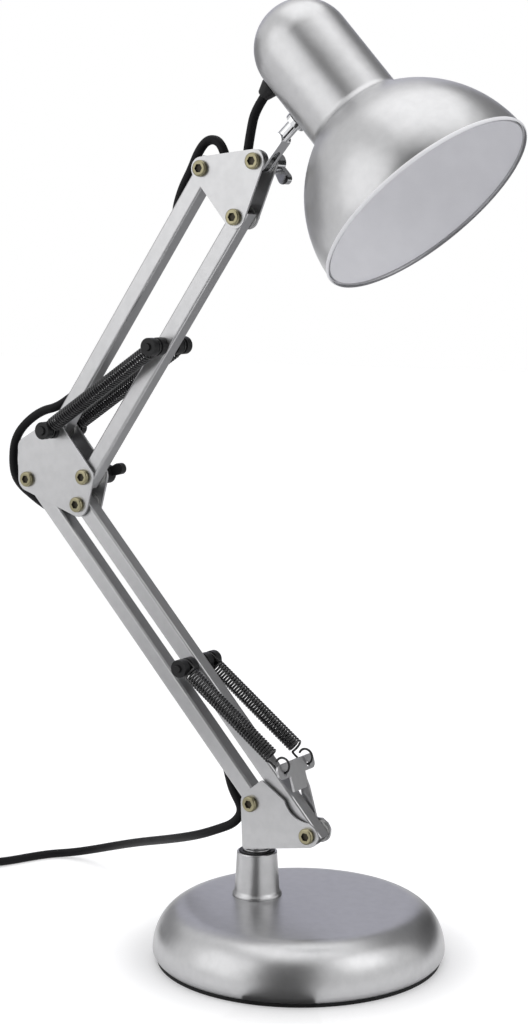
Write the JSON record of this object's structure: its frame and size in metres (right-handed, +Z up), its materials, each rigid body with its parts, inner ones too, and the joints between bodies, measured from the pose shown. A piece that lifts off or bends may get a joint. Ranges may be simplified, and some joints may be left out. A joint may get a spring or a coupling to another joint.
{
  "type": "desk lamp",
  "caption": "Balanced-arm desk lamp with a weighted round base, sprung parallelogram arms of square tube, a bell shade on a tilting fork and a round lead.",
  "frame": {"origin": "centre of the base on its underside", "axes": "+Z up, +X from the post towards the shade in the plane of the arms, +Y to the back"},
  "size_m": [0.5062, 0.2097, 0.5321],
  "materials": {
    "silver_paint": "satin",
    "black_pad": "matt",
    "weight_iron": "rough cast",
    "zinc_steel": "plated",
    "black_plastic": "satin",
    "yellow_zinc": "yellow plated",
    "chrome": "polished",
    "spring_black": "black coated",
    "lead_black": "satin",
    "holder_white": "glazed"
  },
  "bodies": {
    "base": {"base_shell": "silver_paint", "base_weight": "weight_iron", "base_pad": "black_pad", "base_bolt": "zinc_steel", "post_socket": "silver_paint", "swivel_bush": "black_plastic", "mains_lead": "lead_black", "lead_coil": "lead_black", "coil_tie": "black_plastic", "plug": "black_plastic", "plug_blades": "yellow_zinc"},
    "lower_bracket": {"bracket_front_cheek": "silver_paint", "bracket_back_cheek": "silver_paint", "swivel_foot": "silver_paint", "bracket_screws": "yellow_zinc", "bracket_nuts": "zinc_steel", "bracket_washers": "zinc_steel"},
    "lower_rear_arm": {"lower_rear_arm": "silver_paint", "lower_arm_cord": "lead_black"},
    "lower_front_arm": {"lower_front_arm": "silver_paint", "lower_spring_pin": "zinc_steel", "lower_spring_spools": "black_plastic", "lower_spring_front": "spring_black", "lower_spring_back": "spring_black"},
    "elbow": {"elbow_front_plate": "silver_paint", "elbow_back_plate": "silver_paint", "elbow_screws": "yellow_zinc", "elbow_nuts": "zinc_steel", "elbow_washers": "zinc_steel", "elbow_spring_pin": "zinc_steel", "elbow_spring_spools": "black_plastic", "upper_spring_front": "spring_black", "upper_spring_back": "spring_black", "elbow_upper_cord": "lead_black", "elbow_lower_cord": "lead_black"},
    "elbow_knob": {"elbow_wing_nut": "black_plastic"},
    "upper_rear_arm": {"upper_rear_arm": "silver_paint", "upper_arm_cord": "lead_black"},
    "upper_front_arm": {"upper_front_arm": "silver_paint", "upper_spring_pin": "zinc_steel", "upper_spring_spools": "black_plastic"},
    "head_bracket": {"head_front_plate": "silver_paint", "head_back_plate": "silver_paint", "head_screws": "yellow_zinc", "head_nuts": "zinc_steel", "head_washers": "zinc_steel", "head_loop_cord": "lead_black", "head_cord_lower": "lead_black"},
    "head_knob": {"head_wing_nut": "chrome"},
    "fork": {"head_fork": "chrome", "fork_spacer": "zinc_steel", "stem_nut": "chrome"},
    "shade": {"shade_shell": "silver_paint", "lamp_holder": "holder_white", "holder_contact": "yellow_zinc", "holder_strap": "zinc_steel", "cord_gland": "black_plastic", "head_cord_upper": "lead_black"}
  },
  "joints": [
    {"name": "swivel", "type": "hinge", "parent": "base", "child": "lower_bracket", "pos_m": [-0.0282, 0, 0.0575], "axis": [0, 0, 1], "range_deg": [-150, 150], "deforming": ["mains_lead"]},
    {"name": "lower_hinge", "type": "hinge", "parent": "lower_bracket", "child": "lower_rear_arm", "pos_m": [-0.0276, 0, 0.086], "axis": [0, 1, 0], "range_deg": [-12, 8], "deforming": ["mains_lead"]},
    {"name": "lower_front_hinge", "type": "hinge", "parent": "lower_bracket", "child": "lower_front_arm", "pos_m": [0.0102, 0, 0.073], "axis": [0, 1, 0], "range_deg": [-12, 8], "deforming": ["lower_spring_front", "lower_spring_back"]},
    {"name": "elbow_level", "type": "hinge", "parent": "lower_rear_arm", "child": "elbow", "pos_m": [-0.18811, 0, 0.2624], "axis": [0, 1, 0], "range_deg": [-8, 12], "deforming": ["elbow_lower_cord"]},
    {"name": "elbow_knob_turn", "type": "hinge", "parent": "elbow", "child": "elbow_knob", "pos_m": [-0.14571, 0, 0.266], "axis": [0, 1, 0], "range_deg": [-90, 90]},
    {"name": "upper_hinge", "type": "hinge", "parent": "elbow", "child": "upper_rear_arm", "pos_m": [-0.16791, 0, 0.2931], "axis": [0, 1, 0], "range_deg": [-40, 55], "deforming": ["elbow_upper_cord"]},
    {"name": "upper_front_hinge", "type": "hinge", "parent": "elbow", "child": "upper_front_arm", "pos_m": [-0.14571, 0, 0.266], "axis": [0, 1, 0], "range_deg": [-40, 55], "deforming": ["upper_spring_front", "upper_spring_back"]},
    {"name": "head_level", "type": "hinge", "parent": "upper_rear_arm", "child": "head_bracket", "pos_m": [-0.06039, 0, 0.44328], "axis": [0, 1, 0], "range_deg": [-55, 40], "deforming": ["head_loop_cord"]},
    {"name": "head_knob_turn", "type": "hinge", "parent": "head_bracket", "child": "head_knob", "pos_m": [-0.0254, 0, 0.44628], "axis": [0, 1, 0], "range_deg": [-90, 90]},
    {"name": "head_tilt", "type": "hinge", "parent": "head_bracket", "child": "fork", "pos_m": [-0.0254, 0, 0.44628], "axis": [0, 1, 0], "range_deg": [-40, 30], "deforming": ["head_cord_lower"]},
    {"name": "shade_swivel", "type": "hinge", "parent": "fork", "child": "shade", "pos_m": [-0.0254, 0, 0.44628], "axis": [0.7431, 0, 0.6691], "range_deg": [-45, 45], "deforming": ["head_cord_upper"]}
  ],
  "couplings": [
    {"joint": "lower_front_hinge", "follows": "lower_hinge", "ratio": 1},
    {"joint": "elbow_level", "follows": "lower_hinge", "ratio": -1},
    {"joint": "upper_front_hinge", "follows": "upper_hinge", "ratio": 1},
    {"joint": "head_level", "follows": "upper_hinge", "ratio": -1}
  ]
}
